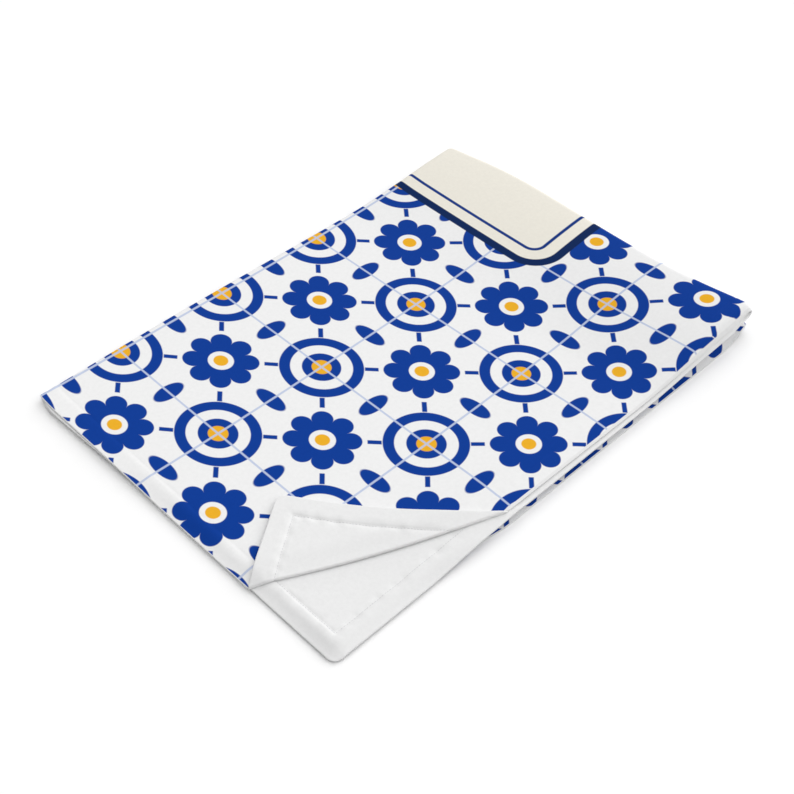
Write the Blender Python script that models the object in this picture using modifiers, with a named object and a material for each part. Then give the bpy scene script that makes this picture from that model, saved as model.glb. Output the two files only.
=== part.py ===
"""A printed throw blanket, folded in quarter with one corner turned back.

The cloth is one sheet. Its flat coordinates are s, across, and t, along, both measured from its middle.
Fold one, at t = 0, brings the far half under the near half. Fold two, at s = 0, tucks the left half
below. The four layers, from the top, are A (s > 0, t > 0), B (s > 0, t < 0), B2 (s < 0, t < 0) and
A2 (s < 0, t > 0). The corner of A is turned back over A. X runs along the folded blanket towards fold
one, Y towards fold two, and Z is up from the surface that it lies on.
"""
from math import cos, pi, sin

import bmesh
import bpy
from mathutils import Vector

# Cloth
clothAcross = 1.30
clothAlong = 1.80
thickness = 0.0024
layerGap = 0.0008
cornerRadius = 0.016

# Folded size, from fold to edge
foldedAcross = 0.6463
foldedAlong = 0.8976

# Place of the folds in the part's frame
foldOneX = 0.4502
foldTwoY = 0.3281

# Half heights of the two rounded lobes at fold one, at the fold two end and at the open end
lobes = {
    "upper": {"closedEnd": 0.0060, "openEnd": 0.0100},
    "lower": {"closedEnd": 0.0050, "openEnd": 0.0135},
}
lobeGrowth = 2.6
lobeReach = 0.28
lowerLobeSetback = 0.007
cornerPullIn = 0.026
cornerPullReach = 0.20
foldSetbackReach = 0.30

# How far each fold line bows in, and where along it, from 0 at the corner that both folds share
foldOneBow = {"depth": 0.0075, "middle": 0.49, "before": 0.31, "after": 0.18}
foldTwoBow = {"depth": 0.0100, "middle": 0.20, "before": 0.52, "after": 0.52}
foldBowFade = 0.45

# Half width of the stretch at a fold over which the values of one layer pass into the next one's
foldBlend = 0.019

# Loose air between the layers along the open right edge, fullest near its middle
edgeLift = {"lower": 0.0024, "middle": 0.0020, "upper": 0.0017}
edgeLiftReach = 0.20
edgeLiftFullAt = 0.15
edgeLiftFadeFrom = 0.52
edgeLiftFade = 0.30
edgeLiftLeast = 0.35

# Near the open right edge B's hem rises towards A's, so that the upper lobe is nearly closed there
openEndFrom = 0.55
openEndReach = 0.07
openEndClosing = 0.8
openEndClosingAtFold = 0.35
openEndClosingReach = 0.04

# Small roll of the inner layers at fold two
foldTwoPuff = 0.0016
foldTwoPuffReach = 0.05

# How far each layer ends past the folded size, at the far and near ends of the right edge and at the
# left and right ends of the near edge, how far its right edge is tucked in past the turned corner, how far
# the right edge hangs towards the surface, 0 to 1, near fold one, further on and past the turned corner,
# over what widths, and how far the near edge is pulled in at fold two
layerEdges = {
    "A": {"rightFar": 0.0045, "rightNear": 0.0000, "nearLeft": 0.000, "nearRight": 0.000, "tuck": 0.0,
          "hangFar": 0.42, "hangNear": 0.10, "hangEnd": 0.10, "droop": 0.013, "droopEnd": 0.013, "tipIn": 0.006},
    "B": {"rightFar": 0.0074, "rightNear": 0.0104, "nearLeft": 0.004, "nearRight": -0.003, "tuck": 0.0,
          "hangFar": 0.42, "hangNear": 0.10, "hangEnd": 0.80, "droop": 0.013, "droopEnd": 0.022, "tipIn": 0.010},
    "B2": {"rightFar": 0.0092, "rightNear": 0.0100, "nearLeft": 0.006, "nearRight": -0.040, "tuck": 0.012,
           "hangFar": 1.0, "hangNear": 1.0, "hangEnd": 1.0, "droop": 0.022, "droopEnd": 0.022, "tipIn": 0.013},
    "A2": {"rightFar": -0.0080, "rightNear": -0.0080, "nearLeft": 0.005, "nearRight": -0.044, "tuck": 0.012,
           "hangFar": 0.0, "hangNear": 0.0, "hangEnd": 0.0, "droop": 0.022, "droopEnd": 0.022, "tipIn": 0.013},
}
tuckFrom = 0.635
tuckReach = 0.12
endFrom = 0.690
endReach = 0.12
hangReach = 0.34
surfaceGap = 0.0002
nearDroopWidth = 0.026
nearDroopStart = 0.14
nearDroopFull = 0.36
nearSkewReach = 0.30
edgeHeldAtFold = 0.5
edgeFreeReach = 0.06
nearPullReach = 0.04

# Corner of A that is turned back: where its crease meets the near edge and the right edge
creaseNear = 0.4920
creaseRight = 0.5635
creaseRadius = 0.0027
creaseBow = 0.0082
turnedCornerRest = 0.0066
turnedCornerSettle = 0.09
turnedCornerFrom = 0.3

# How far the turned corner is pulled off its straight turn, and over what distance that builds up
turnedCornerSlip = (0.0, -0.0130)
turnedCornerSlipReach = 0.16

halfAcross = clothAcross / 2
halfAlong = clothAlong / 2
pitch = thickness + layerGap


def ease(value):
    """Smooth step from 0 to 1."""
    value = min(max(value, 0.0), 1.0)
    return value * value * (3 - 2 * value)


def mix(start, end, weight):
    return start + (end - start) * weight


def turnBack(s, t):
    """Turn the corner of A back over its crease: new s and t on A, and the rise over A."""
    crease = Vector((halfAcross - creaseNear, creaseRight - halfAlong))
    outward = Vector((-crease.y, crease.x)).normalized()
    place = Vector((s, t)) - Vector((creaseNear, halfAlong))
    share = min(max(place.dot(crease) / crease.length_squared, 0.0), 1.0)
    past = place.dot(outward) + creaseRadius - 4 * creaseBow * share * (1 - share)
    if past <= 0:
        return s, t, 0.0
    arc = pi * creaseRadius
    if past < arc:
        reach = creaseRadius * sin(past / creaseRadius)
        rise = creaseRadius * (1 - cos(past / creaseRadius))
    else:
        reach = arc - past
        settle = ease((past - arc) / turnedCornerSettle)
        rise = mix(2 * creaseRadius, turnedCornerRest, settle)
    place = Vector((s, t)) + outward * (reach - past)
    place += Vector(turnedCornerSlip) * ease(past / turnedCornerSlipReach)
    return place.x, place.y, rise


def lobeRadius(across, pair):
    return mix(lobes[pair]["closedEnd"], lobes[pair]["openEnd"], (across / halfAcross) ** lobeGrowth)


def bowIn(bow, place):
    """How far a fold line bows in at a place along it."""
    away = place - bow["middle"]
    reach = bow["before"] if away < 0 else bow["after"]
    return bow["depth"] * (1 - ease(abs(away) / reach))


def edgeAir(fromFold, across):
    """Share of the loose air along the right edge at a point of the plan."""
    lengthwise = ease(fromFold / edgeLiftFullAt) * (1 - ease((fromFold - edgeLiftFadeFrom) / edgeLiftFade))
    sideways = ease((across - (halfAcross - edgeLiftReach)) / edgeLiftReach)
    return sideways * mix(edgeLiftLeast, 1.0, lengthwise)


def layerHeights(fromFold, across):
    """Heights of the middle of layers A2, B2, B and A over the surface."""
    air = edgeAir(fromFold, across)
    nearFold = 1 - ease(fromFold / lobeReach)
    lowerHalf = mix(pitch / 2, lobeRadius(across, "lower"), nearFold) + edgeLift["lower"] * air * (1 - nearFold)
    upperHalf = mix(pitch / 2, lobeRadius(across, "upper"), nearFold) + edgeLift["upper"] * air * (1 - nearFold)
    puff = foldTwoPuff * (1 - ease(across / foldTwoPuffReach))
    lowest = thickness / 2
    second = lowest + 2 * lowerHalf
    third = second + pitch + puff + edgeLift["middle"] * air
    top = third + 2 * upperHalf
    closing = mix(openEndClosingAtFold, openEndClosing, ease(fromFold / openEndClosingReach))
    third = mix(third, top - pitch, closing * ease((across - openEndFrom) / openEndReach))
    return lowest, second, third, top


def layerValue(column, outer, upper):
    """Blend one column of the table of edges: outer is A or A2, upper is A or B."""
    top = mix(layerEdges["B"][column], layerEdges["A"][column], outer)
    bottom = mix(layerEdges["B2"][column], layerEdges["A2"][column], outer)
    return mix(bottom, top, upper)


def foldedPoint(s, t):
    """Place of the middle of the cloth at flat point s, t."""
    rise = 0.0
    if s > 0 and t > 0:
        s, t, rise = turnBack(s, t)
    across = abs(s)
    along = abs(t)
    upper = ease((s + foldBlend) / (2 * foldBlend))
    outer = ease((t + foldBlend) / (2 * foldBlend))

    # Fold one: a rounded lobe, then the flat layer
    radius = mix(lobeRadius(across, "lower"), lobeRadius(across, "upper"), upper)
    turn = along / radius
    if turn < pi / 2:
        fromFold = radius * (1 - cos(turn))
        side = sin(turn)
    else:
        fromFold = radius + along - radius * pi / 2
        side = 1.0
    side = side if t > 0 else -side
    lowest, second, third, top = layerHeights(fromFold, across)
    upperHeight = mix(third, top, (1 + side) / 2)
    lowerHeight = mix(second, lowest, (1 + side) / 2)

    # Fold two: the layers bend around each other
    outerBend = (top - lowest) / 2
    bend = (upperHeight - lowerHeight) / 2
    middle = (upperHeight + lowerHeight) / 2
    turn = across / bend
    if turn < pi / 2:
        fromEdge = outerBend - bend * cos(turn)
        height = middle + (bend * sin(turn) if s > 0 else -bend * sin(turn))
    else:
        fromEdge = outerBend + across - bend * pi / 2
        height = upperHeight if s > 0 else lowerHeight
    natural = outerBend + halfAcross - bend * pi / 2
    rightEdge = mix(layerValue("rightFar", outer, upper), layerValue("rightNear", outer, upper),
                    along / halfAlong)
    rightEdge -= layerValue("tuck", outer, upper) * ease((along / halfAlong - tuckFrom) / tuckReach)
    free = mix(edgeHeldAtFold, 1.0, ease(fromFold / edgeFreeReach))
    wanted = foldedAcross + rightEdge * free
    fromEdge += (wanted - natural) * (across / halfAcross) ** 2
    fromEdge += bowIn(foldTwoBow, along) * max(0.0, 1 - across / foldBowFade) ** 2

    # The layers don't end at the same line along the near edge
    stretch = foldedAlong - (halfAlong - radius * (pi / 2 - 1))
    skew = ease(across / nearSkewReach)
    nearEdge = mix(layerValue("nearLeft", outer, upper), layerValue("nearRight", outer, upper), skew)
    nearEdge -= layerValue("tipIn", outer, upper) * max(0.0, 1 - across / nearPullReach) ** 2
    fromFold += (stretch + nearEdge) * (along / halfAlong) ** 4
    setback = lowerLobeSetback * (across / halfAcross) * (1 - upper)
    pullIn = cornerPullIn * max(0.0, 1 - across / cornerPullReach) ** 2
    pullIn += bowIn(foldOneBow, across)
    fromFold += (setback + pullIn) * (1 - ease(along / foldSetbackReach))

    # Edges hang down, and A's bends where B's does below it
    onSurface = thickness / 2 + surfaceGap
    ending = ease((along / halfAlong - endFrom) / endReach)
    droop = mix(layerValue("droop", outer, upper), layerValue("droopEnd", outer, upper), ending)
    beyond = mix(layerEdges["B"]["rightFar"], layerEdges["B"]["rightNear"], along / halfAlong) - rightEdge
    rightHang = ease((across - (halfAcross - droop + beyond * free)) / droop)
    hang = mix(layerValue("hangFar", outer, upper), layerValue("hangNear", outer, upper),
               ease(fromFold / hangReach))
    hang = mix(hang, layerValue("hangEnd", outer, upper), ending)
    height = mix(height, min(height, onSurface), rightHang * free * hang)
    nearHang = ease((across - nearDroopStart) / (nearDroopFull - nearDroopStart))
    nearHang *= ease((along - (halfAlong - nearDroopWidth)) / nearDroopWidth)
    if s > 0:
        height = mix(height, min(height, onSurface + (pitch if t > 0 else 0.0)), nearHang)
    return Vector((foldOneX - fromFold, foldTwoY - fromEdge, height + rise))


def gridLines(spacings):
    """Both signs of the running sums of a row of spacings, with zero between them."""
    sums = []
    total = 0.0
    for spacing in spacings:
        total += spacing
        sums.append(total)
    return [-value for value in reversed(sums)] + [0.0] + sums


def evenly(start, end, count):
    """Spacings that cover the stretch from start to end in equal steps."""
    return [(end - start) / count] * count


def flatCloth():
    """Flat sheet with close lines at the folds, the hems and the crease of the turned corner."""
    bendEnd = 0.020
    hemStart = 0.034
    across = [0.0013, 0.0013, 0.0014, 0.0020, 0.0025, 0.0030, 0.0035]
    across += evenly(sum(across), bendEnd, 1)
    across += evenly(bendEnd, halfAcross - hemStart, 10)
    across += evenly(halfAcross - hemStart, halfAcross - cornerRadius, 2)
    across += evenly(halfAcross - cornerRadius, halfAcross, 3)
    along = [0.0020, 0.0020, 0.0025, 0.0030, 0.0035]
    along += evenly(sum(along), bendEnd, 2)
    along += evenly(bendEnd, halfAlong - hemStart, 13)
    along += evenly(halfAlong - hemStart, halfAlong - cornerRadius, 2)
    along += evenly(halfAlong - cornerRadius, halfAlong, 3)
    columns = gridLines(across)
    rows = gridLines(along)

    mesh = bmesh.new()
    bmesh.ops.create_grid(mesh, x_segments=len(columns) - 1, y_segments=len(rows) - 1, size=1.0)
    for vertex in mesh.verts:
        column = round((vertex.co.x + 1) / 2 * (len(columns) - 1))
        row = round((vertex.co.y + 1) / 2 * (len(rows) - 1))
        vertex.co = (columns[column], rows[row], 0.0)

    outward = Vector((halfAlong - creaseRight, halfAcross - creaseNear, 0.0)).normalized()
    start = Vector((creaseNear, halfAlong, 0.0)) - outward * creaseRadius
    steps = 9
    for step in range(steps + 1):
        corner = [face for face in mesh.faces if face.calc_center_median().x > turnedCornerFrom
                  and face.calc_center_median().y > turnedCornerFrom]
        parts = set(corner)
        for face in corner:
            parts.update(face.edges)
            parts.update(face.verts)
        bmesh.ops.bisect_plane(mesh, geom=list(parts), dist=0.0005,
                               plane_co=start + outward * ((pi * creaseRadius + creaseBow) * step / steps),
                               plane_no=outward)
    return mesh


def roundCorners(mesh):
    """Bring each square corner of the flat sheet in to a quarter circle."""
    for vertex in mesh.verts:
        a = (abs(vertex.co.x) - (halfAcross - cornerRadius)) / cornerRadius
        b = (abs(vertex.co.y) - (halfAlong - cornerRadius)) / cornerRadius
        if a > 0 and b > 0:
            x = halfAcross - cornerRadius + cornerRadius * a * (1 - b * b / 2) ** 0.5
            y = halfAlong - cornerRadius + cornerRadius * b * (1 - a * a / 2) ** 0.5
            vertex.co.x = x if vertex.co.x > 0 else -x
            vertex.co.y = y if vertex.co.y > 0 else -y


def plushMaterial():
    material = bpy.data.materials.new("printed_plush")
    material.use_nodes = True
    shader = material.node_tree.nodes["Principled BSDF"]
    shader.inputs["Base Color"].default_value = (0.45, 0.50, 0.62, 1.0)
    shader.inputs["Roughness"].default_value = 0.9
    shader.inputs["Metallic"].default_value = 0.0
    return material


def makeBlanket(collection):
    sheet = flatCloth()
    roundCorners(sheet)
    for vertex in sheet.verts:
        vertex.co = foldedPoint(vertex.co.x, vertex.co.y)
    mesh = bpy.data.meshes.new("blanket")
    sheet.to_mesh(mesh)
    sheet.free()
    mesh.shade_smooth()
    mesh.materials.append(plushMaterial())
    blanket = bpy.data.objects.new("blanket", mesh)
    collection.objects.link(blanket)
    shell = blanket.modifiers.new("cloth thickness", "SOLIDIFY")
    shell.thickness = thickness
    shell.offset = 0.0
    shell.use_even_offset = True
    return blanket


for thing in list(bpy.data.objects):
    bpy.data.objects.remove(thing, do_unlink=True)
foldedThrow = bpy.data.collections.new("folded_throw")
bpy.context.scene.collection.children.link(foldedThrow)
makeBlanket(foldedThrow)
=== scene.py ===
from math import cos, pi, radians, sin

import bmesh
import bpy
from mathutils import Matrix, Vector, noise


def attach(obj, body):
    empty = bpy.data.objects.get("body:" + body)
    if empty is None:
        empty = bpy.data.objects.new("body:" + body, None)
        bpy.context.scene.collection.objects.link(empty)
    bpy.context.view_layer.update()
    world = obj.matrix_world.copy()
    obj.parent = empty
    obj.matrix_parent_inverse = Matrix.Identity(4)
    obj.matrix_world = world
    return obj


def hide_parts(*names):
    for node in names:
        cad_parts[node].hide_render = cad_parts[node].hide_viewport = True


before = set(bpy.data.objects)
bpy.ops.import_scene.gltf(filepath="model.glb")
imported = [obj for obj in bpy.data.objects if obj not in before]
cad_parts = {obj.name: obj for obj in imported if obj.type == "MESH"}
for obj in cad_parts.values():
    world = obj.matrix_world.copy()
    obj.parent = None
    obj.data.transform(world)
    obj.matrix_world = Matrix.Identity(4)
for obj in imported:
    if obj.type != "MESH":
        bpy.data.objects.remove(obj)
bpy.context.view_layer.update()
print("frame loaded")

# One throw: a printed plush cloth, hemmed, folded in quarter, with a corner turned back.
# s runs across the flat cloth and t along it, both from its middle, in metres.
throw = {
    "across": 1.30,
    "along": 1.80,
    "thickness": 0.0024,
    "layerGap": 0.0008,
    "cornerRadius": 0.016,
    "foldedAcross": 0.6463,
    "foldedAlong": 0.8976,
    "foldOneX": 0.4502,
    "foldTwoY": 0.3281,
    "surfaceGap": 0.0002,
}
halfAcross = throw["across"] / 2
halfAlong = throw["along"] / 2
layerPitch = throw["thickness"] + throw["layerGap"]

# The two folds: fold one ends in rounded lobes, given as half heights at fold two and at the open side
lobes = {
    "upper": {"closedEnd": 0.0060, "openEnd": 0.0100},
    "lower": {"closedEnd": 0.0050, "openEnd": 0.0135},
    "growth": 2.6,
    "reach": 0.28,
    "lowerSetback": 0.007,
    "cornerPullIn": 0.026,
    "cornerPullReach": 0.20,
    "setbackReach": 0.30,
    "oneBow": {"depth": 0.0075, "middle": 0.49, "before": 0.31, "after": 0.18},
    "twoBow": {"depth": 0.0100, "middle": 0.20, "before": 0.52, "after": 0.52},
    "bowFade": 0.45,
    "blend": 0.019,
    "twoPuff": 0.0016,
    "twoPuffReach": 0.05,
}

# Loose air along the open right edge, and how far in from it and from the near edge the layers hang down
openEdge = {
    "lower": 0.0024,
    "middle": 0.0020,
    "upper": 0.0017,
    "reach": 0.20,
    "fullAt": 0.15,
    "fadeFrom": 0.52,
    "fade": 0.30,
    "least": 0.35,
    "closingFrom": 0.55,
    "closingReach": 0.07,
    "closing": 0.8,
    "closingAtFold": 0.35,
    "closingFoldReach": 0.04,
    "hangReach": 0.34,
    "nearDroopWidth": 0.026,
    "nearDroopStart": 0.14,
    "nearDroopFull": 0.36,
    "nearHang": 0.80,
    "nearSkewReach": 0.30,
    "heldAtFold": 0.5,
    "freeReach": 0.06,
    "nearPullReach": 0.04,
    "tuckFrom": 0.635,
    "tuckReach": 0.12,
    "endFrom": 0.690,
    "endReach": 0.12,
}

# The four layers from top to bottom: A print up, B white up, B2 print up, A2 print on the surface.
# right and near: where a layer ends. tuck: how far its right edge draws in past the turned corner.
# hang and droop: how far its right edge drops, and over what width. tipIn: its corner at fold two.
layerEnds = {
    "A": {"rightFar": 0.0045, "rightNear": 0.0000, "nearLeft": 0.000, "nearRight": 0.000, "tuck": 0.0,
          "hangFar": 0.42, "hangNear": 0.10, "hangEnd": 0.10,
          "droop": 0.013, "droopEnd": 0.013, "tipIn": 0.002},
    "B": {"rightFar": 0.0074, "rightNear": 0.0104, "nearLeft": 0.004, "nearRight": -0.003, "tuck": 0.0,
          "hangFar": 0.42, "hangNear": 0.10, "hangEnd": 0.64,
          "droop": 0.013, "droopEnd": 0.022, "tipIn": 0.010},
    "B2": {"rightFar": 0.0092, "rightNear": 0.0100, "nearLeft": 0.006, "nearRight": -0.040, "tuck": 0.012,
           "hangFar": 1.0, "hangNear": 1.0, "hangEnd": 1.0,
           "droop": 0.022, "droopEnd": 0.022, "tipIn": 0.013},
    "A2": {"rightFar": -0.0080, "rightNear": -0.0080, "nearLeft": 0.005, "nearRight": -0.044, "tuck": 0.012,
           "hangFar": 0.0, "hangNear": 0.0, "hangEnd": 0.0,
           "droop": 0.022, "droopEnd": 0.022, "tipIn": 0.013},
}

# The corner of A that is turned back over its crease
turnedCorner = {
    "creaseNear": 0.4920,
    "creaseRight": 0.5635,
    "radius": 0.0017,
    "bow": 0.0082,
    "puff": 0.0017,
    "puffOut": 0.030,
    "puffIn": 0.007,
    "rest": 0.0068,
    "settle": 0.035,
    "slip": (0.0, -0.0130),
    "slipReach": 0.16,
    "from": 0.3,
    "cuts": 13,
    "snap": 0.0002,
}


def ease(value):
    value = min(max(value, 0.0), 1.0)
    return value * value * (3 - 2 * value)


def mix(start, end, weight):
    return start + (end - start) * weight


def fromCrease(s, t):
    # how far a point lies past the bowed crease, and the direction away from it
    crease = Vector((halfAcross - turnedCorner["creaseNear"], turnedCorner["creaseRight"] - halfAlong))
    outward = Vector((-crease.y, crease.x)).normalized()
    place = Vector((s, t)) - Vector((turnedCorner["creaseNear"], halfAlong))
    share = min(max(place.dot(crease) / crease.length_squared, 0.0), 1.0)
    return place.dot(outward) - 4 * turnedCorner["bow"] * share * (1 - share), outward


def turnBack(s, t):
    # new s and t on A, and the rise over A
    radius = turnedCorner["radius"]
    past, outward = fromCrease(s, t)
    past += radius
    if past <= 0:
        return s, t, 0.0
    arc = pi * radius
    if past < arc:
        reach = radius * sin(past / radius)
        rise = radius * (1 - cos(past / radius))
    else:
        reach = arc - past
        settled = ease((past - arc) / turnedCorner["settle"])
        rise = mix(2 * radius, turnedCorner["rest"], settled)
    place = Vector((s, t)) + outward * (reach - past)
    place += Vector(turnedCorner["slip"]) * ease(past / turnedCorner["slipReach"])
    return place.x, place.y, rise


def creasePuff(s, t):
    # B's pile rises softly against the crease that lies on it
    shift = (layerEnds["B"]["rightNear"] - layerEnds["A"]["rightNear"]) * (s / halfAcross) ** 2
    past = fromCrease(s + shift, t)[0]
    reach = turnedCorner["puffOut"] if past > 0 else turnedCorner["puffIn"]
    return turnedCorner["puff"] * (1 - ease(abs(past) / reach))


def lobeRadius(across, pair):
    ends = lobes[pair]
    return mix(ends["closedEnd"], ends["openEnd"], (across / halfAcross) ** lobes["growth"])


def bowIn(bow, place):
    away = place - bow["middle"]
    reach = bow["before"] if away < 0 else bow["after"]
    return bow["depth"] * (1 - ease(abs(away) / reach))


def edgeAir(fromFold, across):
    lengthwise = ease(fromFold / openEdge["fullAt"])
    lengthwise *= 1 - ease((fromFold - openEdge["fadeFrom"]) / openEdge["fade"])
    sideways = ease((across - (halfAcross - openEdge["reach"])) / openEdge["reach"])
    return sideways * mix(openEdge["least"], 1.0, lengthwise)


def layerHeights(fromFold, across):
    air = edgeAir(fromFold, across)
    nearFold = 1 - ease(fromFold / lobes["reach"])
    half = layerPitch / 2
    lowerHalf = mix(half, lobeRadius(across, "lower"), nearFold) + openEdge["lower"] * air * (1 - nearFold)
    upperHalf = mix(half, lobeRadius(across, "upper"), nearFold) + openEdge["upper"] * air * (1 - nearFold)
    puff = lobes["twoPuff"] * (1 - ease(across / lobes["twoPuffReach"]))
    lowest = throw["thickness"] / 2
    second = lowest + 2 * lowerHalf
    third = second + layerPitch + puff + openEdge["middle"] * air
    top = third + 2 * upperHalf
    closing = mix(openEdge["closingAtFold"], openEdge["closing"],
                  ease(fromFold / openEdge["closingFoldReach"]))
    closing *= ease((across - openEdge["closingFrom"]) / openEdge["closingReach"])
    return lowest, second, mix(third, top - layerPitch, closing), top


def layerValue(column, outer, upper):
    top = mix(layerEnds["B"][column], layerEnds["A"][column], outer)
    bottom = mix(layerEnds["B2"][column], layerEnds["A2"][column], outer)
    return mix(bottom, top, upper)


def foldedPoint(s, t):
    # where the middle of the cloth lies at flat point s, t
    rise = 0.0
    if s > 0 and t > 0:
        s, t, rise = turnBack(s, t)
    elif s > 0:
        rise = creasePuff(s, -t)
    across = abs(s)
    along = abs(t)
    upper = ease((s + lobes["blend"]) / (2 * lobes["blend"]))
    outer = ease((t + lobes["blend"]) / (2 * lobes["blend"]))

    # fold one: a rounded lobe, then the flat layer
    radius = mix(lobeRadius(across, "lower"), lobeRadius(across, "upper"), upper)
    turn = along / radius
    if turn < pi / 2:
        fromFold = radius * (1 - cos(turn))
        side = sin(turn)
    else:
        fromFold = radius + along - radius * pi / 2
        side = 1.0
    side = side if t > 0 else -side
    lowest, second, third, top = layerHeights(fromFold, across)
    upperHeight = mix(third, top, (1 + side) / 2)
    lowerHeight = mix(second, lowest, (1 + side) / 2)

    # fold two: the layers bend around each other
    outerBend = (top - lowest) / 2
    bend = (upperHeight - lowerHeight) / 2
    middle = (upperHeight + lowerHeight) / 2
    turn = across / bend
    if turn < pi / 2:
        fromEdge = outerBend - bend * cos(turn)
        height = middle + (bend * sin(turn) if s > 0 else -bend * sin(turn))
    else:
        fromEdge = outerBend + across - bend * pi / 2
        height = upperHeight if s > 0 else lowerHeight
    natural = outerBend + halfAcross - bend * pi / 2
    rightEdge = mix(layerValue("rightFar", outer, upper), layerValue("rightNear", outer, upper),
                    along / halfAlong)
    tucked = ease((along / halfAlong - openEdge["tuckFrom"]) / openEdge["tuckReach"])
    rightEdge -= layerValue("tuck", outer, upper) * tucked
    free = mix(openEdge["heldAtFold"], 1.0, ease(fromFold / openEdge["freeReach"]))
    wanted = throw["foldedAcross"] + rightEdge * free
    fromEdge += (wanted - natural) * (across / halfAcross) ** 2
    fromEdge += bowIn(lobes["twoBow"], along) * max(0.0, 1 - across / lobes["bowFade"]) ** 2

    # the layers don't end at the same line along the near edge
    stretch = throw["foldedAlong"] - (halfAlong - radius * (pi / 2 - 1))
    skew = ease(across / openEdge["nearSkewReach"])
    nearEdge = mix(layerValue("nearLeft", outer, upper), layerValue("nearRight", outer, upper), skew)
    nearEdge -= layerValue("tipIn", outer, upper) * max(0.0, 1 - across / openEdge["nearPullReach"]) ** 2
    fromFold += (stretch + nearEdge) * (along / halfAlong) ** 4
    setback = lobes["lowerSetback"] * (across / halfAcross) * (1 - upper)
    pullIn = lobes["cornerPullIn"] * max(0.0, 1 - across / lobes["cornerPullReach"]) ** 2
    pullIn += bowIn(lobes["oneBow"], across)
    fromFold += (setback + pullIn) * (1 - ease(along / lobes["setbackReach"]))

    # edges hang down, and A's bends where B's does below it
    onSurface = throw["thickness"] / 2 + throw["surfaceGap"]
    ending = ease((along / halfAlong - openEdge["endFrom"]) / openEdge["endReach"])
    droop = mix(layerValue("droop", outer, upper), layerValue("droopEnd", outer, upper), ending)
    ends = layerEnds["B"]
    beyond = mix(ends["rightFar"], ends["rightNear"], along / halfAlong) - rightEdge
    rightHang = ease((across - (halfAcross - droop + beyond * free)) / droop)
    hang = mix(layerValue("hangFar", outer, upper), layerValue("hangNear", outer, upper),
               ease(fromFold / openEdge["hangReach"]))
    hang = mix(hang, layerValue("hangEnd", outer, upper), ending)
    height = mix(height, min(height, onSurface), rightHang * free * hang)
    nearHang = ease((across - openEdge["nearDroopStart"])
                    / (openEdge["nearDroopFull"] - openEdge["nearDroopStart"]))
    nearHang *= ease((along - (halfAlong - openEdge["nearDroopWidth"])) / openEdge["nearDroopWidth"])
    if s > 0:
        nearHang *= openEdge["nearHang"]
        height = mix(height, min(height, onSurface + (layerPitch if t > 0 else 0.0)), nearHang)
    return Vector((throw["foldOneX"] - fromFold, throw["foldTwoY"] - fromEdge, height + rise))


# Hem: doubled cloth along all four sides, held by one line of stitches
hem = {
    "width": 0.034,
    "stitchLine": 0.031,
    "swell": 0.0011,
    "grooveDepth": 0.0018,
    "grooveWidth": 0.0036,
    "puckerDepth": 0.0022,
    "puckerReach": 0.012,
    "puckerLength": 0.013,
    "puckerWidth": 0.03,
    "puckerSeed": 4.0,
    "hidden": 0.4,
    "printSide": 0.3,
    "bareReach": 0.02,
    "rimRadius": 0.0013,
    "rimRound": 0.92,
}

# Lines of the flat grid, as distances from a fold or from an edge
gridding = {
    "body": 0.0120,
    "foldLines": [0.0013, 0.0026, 0.0040, 0.0060, 0.0085, 0.0115, 0.0150, 0.0200],
    "hemLines": [0.0390, 0.0350, 0.0330, 0.0310, 0.0290, 0.0260, 0.0200, 0.0130,
                 0.0070, 0.0030, 0.0013, 0.0006, 0.0002],
    "fineEdge": 0.0062,
    "shownAcross": 0.40,
    "shownAlong": 0.50,
    "shownCuts": 2,
}


def gridLines(half):
    # one side of the middle, then its mirror image
    lines = list(gridding["foldLines"])
    start = lines[-1]
    end = half - gridding["hemLines"][0]
    steps = round((end - start) / gridding["body"])
    lines += [mix(start, end, (step + 1) / steps) for step in range(steps)]
    lines += [half - distance for distance in gridding["hemLines"][1:]] + [half]
    return [-line for line in reversed(lines)] + [0.0] + lines


def onlySelect(thing):
    bpy.ops.object.select_all(action="DESELECT")
    thing.select_set(True)
    bpy.context.view_layer.objects.active = thing


def flatCloth():
    columns = gridLines(halfAcross)
    rows = gridLines(halfAlong)
    bpy.ops.object.select_all(action="DESELECT")
    bpy.ops.mesh.primitive_grid_add(x_subdivisions=len(columns) - 1, y_subdivisions=len(rows) - 1, size=2)
    cloth = bpy.context.object
    cloth.name = "throwCloth"
    mesh = bmesh.new()
    mesh.from_mesh(cloth.data)
    for vertex in mesh.verts:
        column = round((vertex.co.x + 1) / 2 * (len(columns) - 1))
        row = round((vertex.co.y + 1) / 2 * (len(rows) - 1))
        vertex.co = (columns[column], rows[row], 0.0)

    # closer lines where the white reverse shows, for its hem and puckers
    def isShown(place):
        return place.x > gridding["shownAcross"] and abs(place.y) > gridding["shownAlong"]

    long = [edge for edge in mesh.edges if edge.calc_length() > gridding["fineEdge"]
            and isShown(edge.verts[0].co) and isShown(edge.verts[1].co)]
    bmesh.ops.subdivide_edges(mesh, edges=long, cuts=gridding["shownCuts"], use_grid_fill=True)

    # lines along the crease
    outward = Vector((halfAlong - turnedCorner["creaseRight"],
                      halfAcross - turnedCorner["creaseNear"], 0.0)).normalized()
    start = Vector((turnedCorner["creaseNear"], halfAlong, 0.0)) - outward * turnedCorner["radius"]
    width = pi * turnedCorner["radius"] + turnedCorner["bow"]
    for step in range(turnedCorner["cuts"] + 1):
        corner = [face for face in mesh.faces
                  if face.calc_center_median().x > turnedCorner["from"]
                  and face.calc_center_median().y > turnedCorner["from"]]
        parts = set(corner)
        for face in corner:
            parts.update(face.edges)
            parts.update(face.verts)
        bmesh.ops.bisect_plane(mesh, geom=list(parts), dist=turnedCorner["snap"], plane_no=outward,
                               plane_co=start + outward * (width * step / turnedCorner["cuts"]))
    mesh.to_mesh(cloth.data)
    mesh.free()
    return cloth


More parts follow.
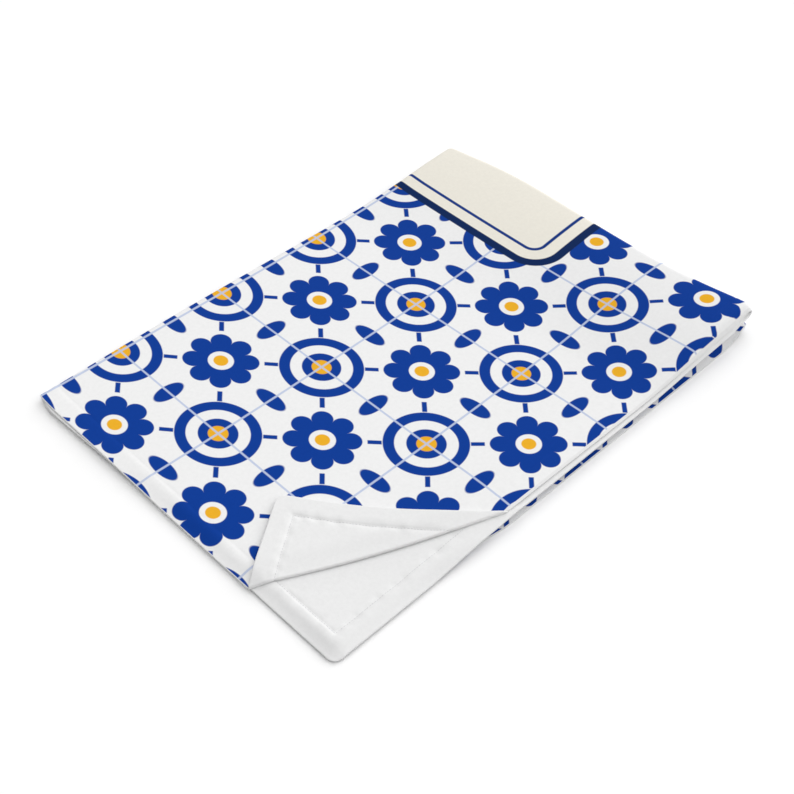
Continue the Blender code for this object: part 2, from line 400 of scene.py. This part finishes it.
# Where the print lies on the cloth, in repeats: its start, its pace a metre,
# and the small shifts that the cloth's stretch gives it
printStart = {
    "across": -0.0066,
    "along": 3.7458,
    "paceAcross": 4.0625,
    "paceAlong": 4.8845,
    "leanAcross": -0.2289,
    "leanAlong": -0.1364,
    "growthAcross": 0.523,
    "growthAlong": -0.1363,
    "bowAcross": 0.2267,
    "twistAlong": 0.2218,
    "foldShift": -0.0993,
    "foldReach": 0.30,
    "edgeShift": 0.0389,
    "edgeFrom": 0.45,
    "edgeReach": 0.20,
    "rightGrowth": 0.020,
    "hemShift": -0.004,
    "hemFrom": 0.80,
    "hemReach": 0.10,
    "leftAcross": -0.012,
    "leftAlong": -0.040,
    "leftReach": 0.16,
    "leftFrom": 0.15,
    "leftFade": 0.14,
    "lowerGrowth": -0.037,
    "lowerStart": 4.0825,
    "lowerPace": 4.615,
    "lowerFrom": 0.03,
    "lowerFull": 0.30,
    "lowerFoldShift": 0.055,
    "lowerFoldFrom": 0.04,
    "lowerFoldReach": 0.075,
}


def printPlace(s, t):
    # place in the print, one unit a repeat
    upperS = max(s, 0.0)
    upperT = max(t, 0.0)
    across = printStart["across"] + printStart["paceAcross"] * s + printStart["growthAcross"] * upperS ** 2
    across += printStart["lowerGrowth"] * min(s, 0.0) ** 2
    across += printStart["leanAcross"] * upperT + printStart["bowAcross"] * upperT ** 2
    across += printStart["foldShift"] * max(0.0, 1 - upperT / printStart["foldReach"]) ** 2
    across += printStart["rightGrowth"] * (upperS / halfAcross) ** 2 * (1 - upperT / halfAlong)
    along = printStart["along"] - printStart["paceAlong"] * t + printStart["leanAlong"] * upperS
    along += printStart["growthAlong"] * upperT ** 3 + printStart["twistAlong"] * upperS * upperT ** 2
    pastEdge = max(0.0, (upperS - printStart["edgeFrom"]) / printStart["edgeReach"])
    pastHem = max(0.0, (upperT - printStart["hemFrom"]) / printStart["hemReach"])
    along += printStart["edgeShift"] * pastEdge ** 2
    along += printStart["hemShift"] * pastHem ** 2

    # where fold two meets the panel the print is pulled towards fold one
    pulled = max(0.0, 1 - upperS / printStart["leftReach"]) ** 2
    pulled *= 1 - ease((upperT - printStart["leftFrom"]) / printStart["leftFade"])
    across += printStart["leftAcross"] * pulled
    along += printStart["leftAlong"] * pulled

    # the lower half of the cloth lies a little apart
    lower = printStart["lowerStart"] - printStart["lowerPace"] * t
    fromFold = (abs(t) - printStart["lowerFoldFrom"]) / printStart["lowerFoldReach"]
    lower += printStart["lowerFoldShift"] * (1 - ease(fromFold))
    share = ease((-s - printStart["lowerFrom"]) / (printStart["lowerFull"] - printStart["lowerFrom"]))
    return across, mix(along, lower, share)


def panelPlace(s, t):
    # the panel's edge stays straight where fold one pulls in
    fade = 1 - ease(abs(t) / lobes["setbackReach"])
    pull = lobes["cornerPullIn"] * max(0.0, 1 - abs(s) / lobes["cornerPullReach"]) ** 2
    pull = (pull + bowIn(lobes["oneBow"], abs(s))) * fade
    straight = abs(t) + pull * ease(abs(t) / panel["straightFrom"])
    return s / panel["unitAcross"], (straight if t > 0 else -straight) / panel["unitAlong"]


def fromEdgeOf(s, t):
    return min(halfAcross - abs(s), halfAlong - abs(t))


def bareReverse(s, t):
    # 1 where the reverse shows, past the crease on A and on B, and 0 where other layers hold it flat
    return ease(fromCrease(s, abs(t))[0] / hem["bareReach"])


def relief(s, t, reverse):
    # how far a face of the cloth stands out from its plain thickness
    edge = fromEdgeOf(s, t)
    depth = mix(hem["hidden"], 1.0, bareReverse(s, t)) if reverse else hem["printSide"]
    out = hem["swell"] * depth * (1 - ease((edge - hem["stitchLine"]) / (hem["width"] - hem["stitchLine"])))
    fromLine = abs(edge - hem["stitchLine"])
    out -= hem["grooveDepth"] * depth * (1 - ease(fromLine / hem["grooveWidth"]))
    alongLine = t if halfAcross - abs(s) < halfAlong - abs(t) else s
    wave = noise.noise(Vector((alongLine / hem["puckerLength"], edge / hem["puckerWidth"],
                               hem["puckerSeed"] + s)))
    out += hem["puckerDepth"] * depth * wave * (1 - ease(fromLine / hem["puckerReach"]))
    if edge < hem["rimRadius"]:
        roundness = (1 - (1 - max(edge, 0.0) / hem["rimRadius"]) ** 2) ** 0.5
        out -= (throw["thickness"] / 2 + out) * (1 - roundness) * hem["rimRound"]
    return out


def roundedCorner(s, t):
    # the square corners of the grid come in to a quarter circle
    radius = throw["cornerRadius"]
    a = (abs(s) - (halfAcross - radius)) / radius
    b = (abs(t) - (halfAlong - radius)) / radius
    if a <= 0 or b <= 0:
        return s, t
    x = halfAcross - radius + radius * a * (1 - b * b / 2) ** 0.5
    y = halfAlong - radius + radius * b * (1 - a * a / 2) ** 0.5
    return (x if s > 0 else -x), (y if t > 0 else -y)


def makeCloth():
    cloth = flatCloth()
    mesh = cloth.data
    flat = [(vertex.co.x, vertex.co.y) for vertex in mesh.vertices]
    places = [roundedCorner(s, t) for s, t in flat]
    mesh.uv_layers.remove(mesh.uv_layers[0])
    clothMap = mesh.uv_layers.new(name="clothMap")
    printMap = mesh.uv_layers.new(name="printMap")
    panelMap = mesh.uv_layers.new(name="panelMap")
    for loop in mesh.loops:
        s, t = places[loop.vertex_index]
        clothMap.data[loop.index].uv = (s / throw["across"] + 0.5, t / throw["along"] + 0.5)
        printMap.data[loop.index].uv = printPlace(s, t)
        panelMap.data[loop.index].uv = panelPlace(s, t)
    for vertex, place in zip(mesh.vertices, places):
        vertex.co = foldedPoint(*place)
    onlySelect(cloth)
    bpy.ops.object.mode_set(mode="EDIT")
    bpy.ops.mesh.select_all(action="SELECT")
    bpy.ops.mesh.flip_normals()
    bpy.ops.object.mode_set(mode="OBJECT")
    bpy.ops.object.shade_smooth()
    cloth.data.materials.append(printMaterial())
    cloth.data.materials.append(plainPlush("reversePlush", plush["reverse"]))
    cloth.data.materials.append(plainPlush("rimPlush", plush["rim"]))
    shell = cloth.modifiers.new("thickness", "SOLIDIFY")
    shell.thickness = throw["thickness"]
    shell.offset = 0.0
    shell.use_even_offset = True
    shell.material_offset = 1
    shell.material_offset_rim = 2
    bpy.ops.object.modifier_apply(modifier="thickness")
    mesh = cloth.data
    normals = [vertex.normal.copy() for vertex in mesh.vertices]
    count = len(flat)
    for index, vertex in enumerate(mesh.vertices):
        s, t = flat[index % count]
        vertex.co += normals[index] * relief(s, t, index >= count)
    return cloth


def node(tree, kind, **settings):
    made = tree.nodes.new(kind)
    for name, value in settings.items():
        setattr(made, name, value)
    return made


def math(tree, operation, *inputs):
    made = node(tree, "ShaderNodeMath", operation=operation)
    for socket, value in zip(made.inputs, inputs):
        if isinstance(value, (int, float)):
            socket.default_value = value
        else:
            tree.links.new(value, socket)
    return made.outputs[0]


def inside(tree, distance, edge, soft):
    # 1 where distance is below edge, with a soft border
    made = node(tree, "ShaderNodeMapRange", interpolation_type="SMOOTHSTEP")
    tree.links.new(distance, made.inputs["Value"])
    made.inputs["From Min"].default_value = edge + soft
    made.inputs["From Max"].default_value = edge - soft
    return made.outputs["Result"]


def overlay(tree, base, colour, factor):
    made = node(tree, "ShaderNodeMix", data_type="RGBA")
    tree.links.new(factor, made.inputs["Factor"])
    for socket, value in ((made.inputs["A"], base), (made.inputs["B"], colour)):
        if isinstance(value, tuple):
            socket.default_value = value
        else:
            tree.links.new(value, socket)
    return made.outputs["Result"]


def linear(red, green, blue):
    # a colour as seen on screen, 0 to 255, in the renderer's own scale
    channels = []
    for value in (red, green, blue):
        value /= 255
        channels.append(value / 12.92 if value <= 0.04045 else ((value + 0.055) / 1.055) ** 2.4)
    return (*channels, 1.0)


# The print, in units of its repeat: rings on whole numbers, flowers half way between
printed = {
    "soft": 0.0045,
    "bareEdge": 0.0016,
    "bareRight": 0.0046,
    "bareLower": 0.0080,
    "bareSoft": 0.0005,
    "ringOuter": 0.300,
    "ringInner": 0.2215,
    "ringDisc": 0.139,
    "ringHeart": 0.0705,
    "petalAt": 0.1950,
    "petalRadius": 0.0768,
    "flowerBody": 0.186,
    "flowerWhite": 0.092,
    "flowerHeart": 0.0525,
    "leafLong": 0.133,
    "leafShort": 0.060,
    "dashStart": 0.305,
    "dashEnd": 0.402,
    "dashHalf": 0.0180,
    "lineHalf": 0.0082,
    "lineStrength": 0.92,
    "slant": 0.7071,
    "ground": linear(240, 240, 240),
    "blue": linear(11, 60, 150),
    "yellow": linear(237, 176, 42),
    "line": linear(190, 201, 226),
}

# The plain panel at the middle of the cloth, in units of a repeat, which are these metres
panel = {
    "unitAcross": 0.227,
    "unitAlong": 0.2043,
    "straightFrom": 0.06,
    "halfAcross": 1.558,
    "halfAlong": 0.816,
    "corner": 0.286,
    "band": 0.0696,
    "margin": 0.1660,
    "fineLine": 0.1935,
    "navy": linear(13, 40, 88),
    "cream": linear(237, 233, 222),
    "fine": linear(17, 55, 130),
}


def printMaterial():
    material = bpy.data.materials.new("printedPlush")
    material.use_nodes = True
    tree = material.node_tree
    shader = tree.nodes["Principled BSDF"]

    place = node(tree, "ShaderNodeUVMap", uv_map="printMap")
    parts = node(tree, "ShaderNodeSeparateXYZ")
    tree.links.new(place.outputs["UV"], parts.inputs[0])
    u, v = parts.outputs[0], parts.outputs[1]

    # distance from the nearest ring along both directions, and from the nearest flower
    ringU = math(tree, "ABSOLUTE", math(tree, "SUBTRACT", u, math(tree, "ROUND", u)))
    ringV = math(tree, "ABSOLUTE", math(tree, "SUBTRACT", v, math(tree, "ROUND", v)))
    flowerU = math(tree, "SUBTRACT", 0.5, ringU)
    flowerV = math(tree, "SUBTRACT", 0.5, ringV)

    def length(a, b):
        return math(tree, "SQRT", math(tree, "ADD", math(tree, "MULTIPLY", a, a),
                                       math(tree, "MULTIPLY", b, b)))

    ring = length(ringU, ringV)
    flower = length(flowerU, flowerV)
    soft = printed["soft"]

    def within(distance, edge):
        return inside(tree, distance, edge, soft)

    ringMask = math(tree, "SUBTRACT", within(ring, printed["ringOuter"]),
                    within(ring, printed["ringInner"]))
    blue = math(tree, "MAXIMUM", ringMask, within(ring, printed["ringDisc"]))

    # petals: the eight are one, mirrored about the axes and the diagonals
    wide = math(tree, "MAXIMUM", flowerU, flowerV)
    narrow = math(tree, "MINIMUM", flowerU, flowerV)
    petal = length(math(tree, "SUBTRACT", wide, printed["petalAt"]), narrow)
    diagonal = printed["petalAt"] * printed["slant"]
    slanted = length(math(tree, "SUBTRACT", wide, diagonal), math(tree, "SUBTRACT", narrow, diagonal))
    petals = within(math(tree, "MINIMUM", petal, slanted), printed["petalRadius"])
    body = within(flower, printed["flowerBody"])
    blue = math(tree, "MAXIMUM", blue, math(tree, "MAXIMUM", petals, body))

    # leaves lie across the lines, half way between two rings
    def leaf(off, beside):
        shape = length(math(tree, "DIVIDE", off, printed["leafShort"]),
                       math(tree, "DIVIDE", beside, printed["leafLong"]))
        return inside(tree, shape, 1.0, soft / printed["leafShort"])

    leaves = math(tree, "MAXIMUM", leaf(flowerU, ringV), leaf(flowerV, ringU))
    blue = math(tree, "MAXIMUM", blue, leaves)

    # dashes on the diagonals, from each ring towards its flowers
    outwards = math(tree, "MULTIPLY", math(tree, "ADD", ringU, ringV), printed["slant"])
    sideways = math(tree, "MULTIPLY", math(tree, "SUBTRACT", ringU, ringV), printed["slant"])
    dashMiddle = (printed["dashStart"] + printed["dashEnd"]) / 2
    dashReach = (printed["dashEnd"] - printed["dashStart"]) / 2
    fromDash = math(tree, "ABSOLUTE", math(tree, "SUBTRACT", outwards, dashMiddle))
    dash = math(tree, "MULTIPLY", within(fromDash, dashReach),
                within(math(tree, "ABSOLUTE", sideways), printed["dashHalf"]))
    blue = math(tree, "MAXIMUM", blue, dash)

    # the white and yellow middles, and the thin lines through the rings
    white = within(flower, printed["flowerWhite"])
    blue = math(tree, "MULTIPLY", blue, math(tree, "SUBTRACT", 1.0, white))
    hearts = math(tree, "MAXIMUM", within(ring, printed["ringHeart"]),
                  within(flower, printed["flowerHeart"]))
    lines = math(tree, "MAXIMUM", within(ringU, printed["lineHalf"]),
                 within(ringV, printed["lineHalf"]))
    lines = math(tree, "MULTIPLY", lines, printed["lineStrength"])

    colour = overlay(tree, printed["ground"], printed["blue"], blue)
    colour = overlay(tree, colour, printed["yellow"], hearts)
    colour = overlay(tree, colour, printed["line"], lines)

    # the panel: a rounded rectangle, as a distance in from its outer edge
    flat = node(tree, "ShaderNodeUVMap", uv_map="panelMap")
    flatParts = node(tree, "ShaderNodeSeparateXYZ")
    tree.links.new(flat.outputs["UV"], flatParts.inputs[0])
    inset = []
    for output, half in zip(flatParts.outputs, (panel["halfAcross"], panel["halfAlong"])):
        inset.append(math(tree, "SUBTRACT", math(tree, "ABSOLUTE", output), half - panel["corner"]))
    beyond = length(math(tree, "MAXIMUM", inset[0], 0.0), math(tree, "MAXIMUM", inset[1], 0.0))
    short = math(tree, "MINIMUM", math(tree, "MAXIMUM", inset[0], inset[1]), 0.0)
    depth = math(tree, "SUBTRACT", math(tree, "ADD", beyond, short), panel["corner"])
    colour = overlay(tree, colour, panel["navy"], inside(tree, depth, 0.0, soft))
    colour = overlay(tree, colour, panel["cream"], inside(tree, depth, -panel["band"], soft))
    colour = overlay(tree, colour, panel["fine"], inside(tree, depth, -panel["margin"], soft))
    colour = overlay(tree, colour, panel["cream"], inside(tree, depth, -panel["fineLine"], soft))

    # the print stops just short of the cloth's edge, and sooner along the right one and at the lower end
    whole = node(tree, "ShaderNodeUVMap", uv_map="clothMap")
    clothParts = node(tree, "ShaderNodeSeparateXYZ")
    tree.links.new(whole.outputs["UV"], clothParts.inputs[0])
    fromRight = math(tree, "MULTIPLY", math(tree, "SUBTRACT", 1.0, clothParts.outputs[0]), throw["across"])
    fromLeft = math(tree, "MULTIPLY", clothParts.outputs[0], throw["across"])
    fromMiddle = math(tree, "ABSOLUTE", math(tree, "SUBTRACT", clothParts.outputs[1], 0.5))
    fromEnds = math(tree, "MULTIPLY", math(tree, "SUBTRACT", 0.5, fromMiddle), throw["along"])
    lowerEnd = math(tree, "MULTIPLY", clothParts.outputs[1], throw["along"])
    edge = math(tree, "MINIMUM", fromLeft, fromEnds)
    for distance, bare in ((lowerEnd, printed["bareLower"]), (fromRight, printed["bareRight"])):
        edge = math(tree, "MINIMUM", edge, math(tree, "SUBTRACT", distance, bare - printed["bareEdge"]))
    colour = overlay(tree, colour, plush["rim"], inside(tree, edge, printed["bareEdge"], printed["bareSoft"]))
    plushFinish(tree, shader, colour)
    return material


# Finish of the plush on both faces: short dense pile
plush = {
    "roughness": 0.86,
    "sheen": 0.05,
    "sheenRoughness": 0.45,
    "specular": 0.05,
    "pileSize": 900.0,
    "pileDetail": 2.0,
    "pileShare": 0.4,
    "tuftSize": 170.0,
    "tuftDetail": 3.0,
    "bump": 0.25,
    "bumpDepth": 0.0006,
    "mottle": 0.035,
    "mottleFrom": 0.3,
    "mottleTo": 0.7,
    "reverse": linear(236, 236, 236),
    "rim": linear(232, 232, 232),
}


def plushFinish(tree, shader, colour):
    coordinates = node(tree, "ShaderNodeTexCoord")
    pile = node(tree, "ShaderNodeTexNoise")
    pile.inputs["Scale"].default_value = plush["pileSize"]
    pile.inputs["Detail"].default_value = plush["pileDetail"]
    tuft = node(tree, "ShaderNodeTexNoise")
    tuft.inputs["Scale"].default_value = plush["tuftSize"]
    tuft.inputs["Detail"].default_value = plush["tuftDetail"]
    for texture in (pile, tuft):
        tree.links.new(coordinates.outputs["Object"], texture.inputs["Vector"])
    height = math(tree, "ADD", math(tree, "MULTIPLY", pile.outputs[0], plush["pileShare"]), tuft.outputs[0])
    bump = node(tree, "ShaderNodeBump")
    bump.inputs["Strength"].default_value = plush["bump"]
    bump.inputs["Distance"].default_value = plush["bumpDepth"]
    tree.links.new(height, bump.inputs["Height"])
    tree.links.new(bump.outputs[0], shader.inputs["Normal"])
    shade = node(tree, "ShaderNodeMapRange")
    tree.links.new(tuft.outputs[0], shade.inputs["Value"])
    shade.inputs["From Min"].default_value = plush["mottleFrom"]
    shade.inputs["From Max"].default_value = plush["mottleTo"]
    shade.inputs["To Min"].default_value = 1 - plush["mottle"]
    shade.inputs["To Max"].default_value = 1.0
    toned = node(tree, "ShaderNodeMix", data_type="RGBA", blend_type="MULTIPLY")
    toned.inputs["Factor"].default_value = 1.0
    if isinstance(colour, tuple):
        toned.inputs["A"].default_value = colour
    else:
        tree.links.new(colour, toned.inputs["A"])
    tree.links.new(shade.outputs[0], toned.inputs["B"])
    tree.links.new(toned.outputs["Result"], shader.inputs["Base Color"])
    shader.inputs["Roughness"].default_value = plush["roughness"]
    shader.inputs["Specular IOR Level"].default_value = plush["specular"]
    shader.inputs["Sheen Weight"].default_value = plush["sheen"]
    shader.inputs["Sheen Roughness"].default_value = plush["sheenRoughness"]


def plainPlush(name, colour):
    material = bpy.data.materials.new(name)
    material.use_nodes = True
    plushFinish(material.node_tree, material.node_tree.nodes["Principled BSDF"], colour)
    return material


# One line of stitches holds the hem, and shows on the white face; its thread is greyer than the cloth, as
# painted shade of the stitched groove
stitching = {
    "pitch": 0.0046,
    "length": 0.0037,
    "width": 0.0008,
    "height": 0.0006,
    "segments": 6,
    "rings": 4,
    "step": 0.0005,
    # thread grey, darker than the white cloth: painted shade of the groove along the stitch line
    "threadPaintedShade": linear(208, 208, 210),
}


def seamPlaces():
    # flat place and direction of every stitch, side by side round the cloth
    line = hem["stitchLine"]
    sides = ((Vector((1, 0)), Vector((0, halfAlong - line)), halfAcross - line),
             (Vector((1, 0)), Vector((0, line - halfAlong)), halfAcross - line),
             (Vector((0, 1)), Vector((halfAcross - line, 0)), halfAlong - line),
             (Vector((0, 1)), Vector((line - halfAcross, 0)), halfAlong - line))
    for direction, middle, reach in sides:
        count = int(2 * reach / stitching["pitch"])
        for index in range(count):
            yield middle + direction * ((index + 0.5) / count * 2 - 1) * reach, direction


def makeStitches():
    bpy.ops.object.select_all(action="DESELECT")
    bpy.ops.mesh.primitive_uv_sphere_add(segments=stitching["segments"], ring_count=stitching["rings"],
                                         radius=0.5)
    stitch = bpy.context.object
    stitch.name = "hemStitches"
    bpy.ops.transform.resize(value=(stitching["width"], stitching["height"], stitching["length"]))
    bpy.ops.object.transform_apply(location=True, rotation=True, scale=True)
    single = stitch.data
    corners = [vertex.co.copy() for vertex in single.vertices]
    faces = [list(face.vertices) for face in single.polygons]
    allCorners = []
    allFaces = []
    for place, direction in seamPlaces():
        s, t = place
        ahead = direction * stitching["step"]
        beside = Vector((-ahead.y, ahead.x))
        alongSeam = foldedPoint(s + ahead.x, t + ahead.y) - foldedPoint(s - ahead.x, t - ahead.y)
        acrossSeam = foldedPoint(s + beside.x, t + beside.y) - foldedPoint(s - beside.x, t - beside.y)
        reverseSide = alongSeam.cross(acrossSeam).normalized()
        alongSeam.normalize()
        sideways = alongSeam.cross(reverseSide)
        centre = foldedPoint(s, t) + reverseSide * (throw["thickness"] / 2 + relief(s, t, True))
        first = len(allCorners)
        allCorners += [centre + sideways * corner.x + reverseSide * corner.y + alongSeam * corner.z
                       for corner in corners]
        allFaces += [[first + index for index in face] for face in faces]
    mesh = bpy.data.meshes.new("hemStitches")
    mesh.from_pydata(allCorners, [], allFaces)
    mesh.materials.append(plainPlush("hemThreadPaintedShade", stitching["threadPaintedShade"]))
    stitch.data = mesh
    onlySelect(stitch)
    bpy.ops.object.mode_set(mode="EDIT")
    bpy.ops.mesh.select_all(action="SELECT")
    bpy.ops.mesh.normals_make_consistent(inside=False)
    bpy.ops.object.mode_set(mode="OBJECT")
    bpy.ops.object.shade_smooth()
    return stitch


cloth = makeCloth()
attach(cloth, "root")
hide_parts("blanket")
print("cloth folded", len(cloth.data.polygons), "faces")
stitches = makeStitches()
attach(stitches, "root")
print("hem stitched", len(stitches.data.polygons), "faces")

# Pale studio: floor, soft light from above and behind, camera at the photo's angle
studio = {
    "floor": linear(255, 255, 255),
    "floorSize": 30,
    "floorRoughness": 0.9,
    "floorSpecular": 0.1,
    "fill": 0.20,
    "lights": (
        {"strength": 2.65, "softness": 120.0, "tilt": 28.0, "turn": 84.0},
        {"strength": 0.5, "softness": 60.0, "tilt": 60.0, "turn": 100.0},
    ),
    "cameraPlace": (-1.08606, -1.10552, 1.55614),
    "cameraTilt": 43.6254,
    "cameraTurn": -44.1246,
    "cameraLens": 64.383,
    "cameraSensor": 36,
}


def makeStudio():
    bpy.ops.object.select_all(action="DESELECT")
    bpy.ops.mesh.primitive_plane_add(size=studio["floorSize"])
    floor = bpy.context.object
    floor.name = "floor"
    paint = bpy.data.materials.new("floorPaint")
    paint.use_nodes = True
    shader = paint.node_tree.nodes["Principled BSDF"]
    shader.inputs["Base Color"].default_value = studio["floor"]
    shader.inputs["Roughness"].default_value = studio["floorRoughness"]
    shader.inputs["Specular IOR Level"].default_value = studio["floorSpecular"]
    floor.data.materials.append(paint)
    world = bpy.data.worlds.new("studio")
    bpy.context.scene.world = world
    world.use_nodes = True
    background = world.node_tree.nodes["Background"]
    background.inputs["Color"].default_value = (1, 1, 1, 1)
    background.inputs["Strength"].default_value = studio["fill"]
    for light in studio["lights"]:
        bpy.ops.object.light_add(type="SUN")
        lamp = bpy.context.object
        lamp.data.energy = light["strength"]
        lamp.data.angle = radians(light["softness"])
        lamp.rotation_euler = (radians(light["tilt"]), 0, radians(light["turn"]))
    bpy.ops.object.camera_add(location=studio["cameraPlace"])
    camera = bpy.context.object
    camera.rotation_euler = (radians(studio["cameraTilt"]), 0, radians(studio["cameraTurn"]))
    camera.data.sensor_width = studio["cameraSensor"]
    camera.data.lens = studio["cameraLens"]
    bpy.context.scene.camera = camera
    return floor


bpy.context.scene.view_settings.view_transform = "Standard"
floor = makeStudio()
print("studio set")
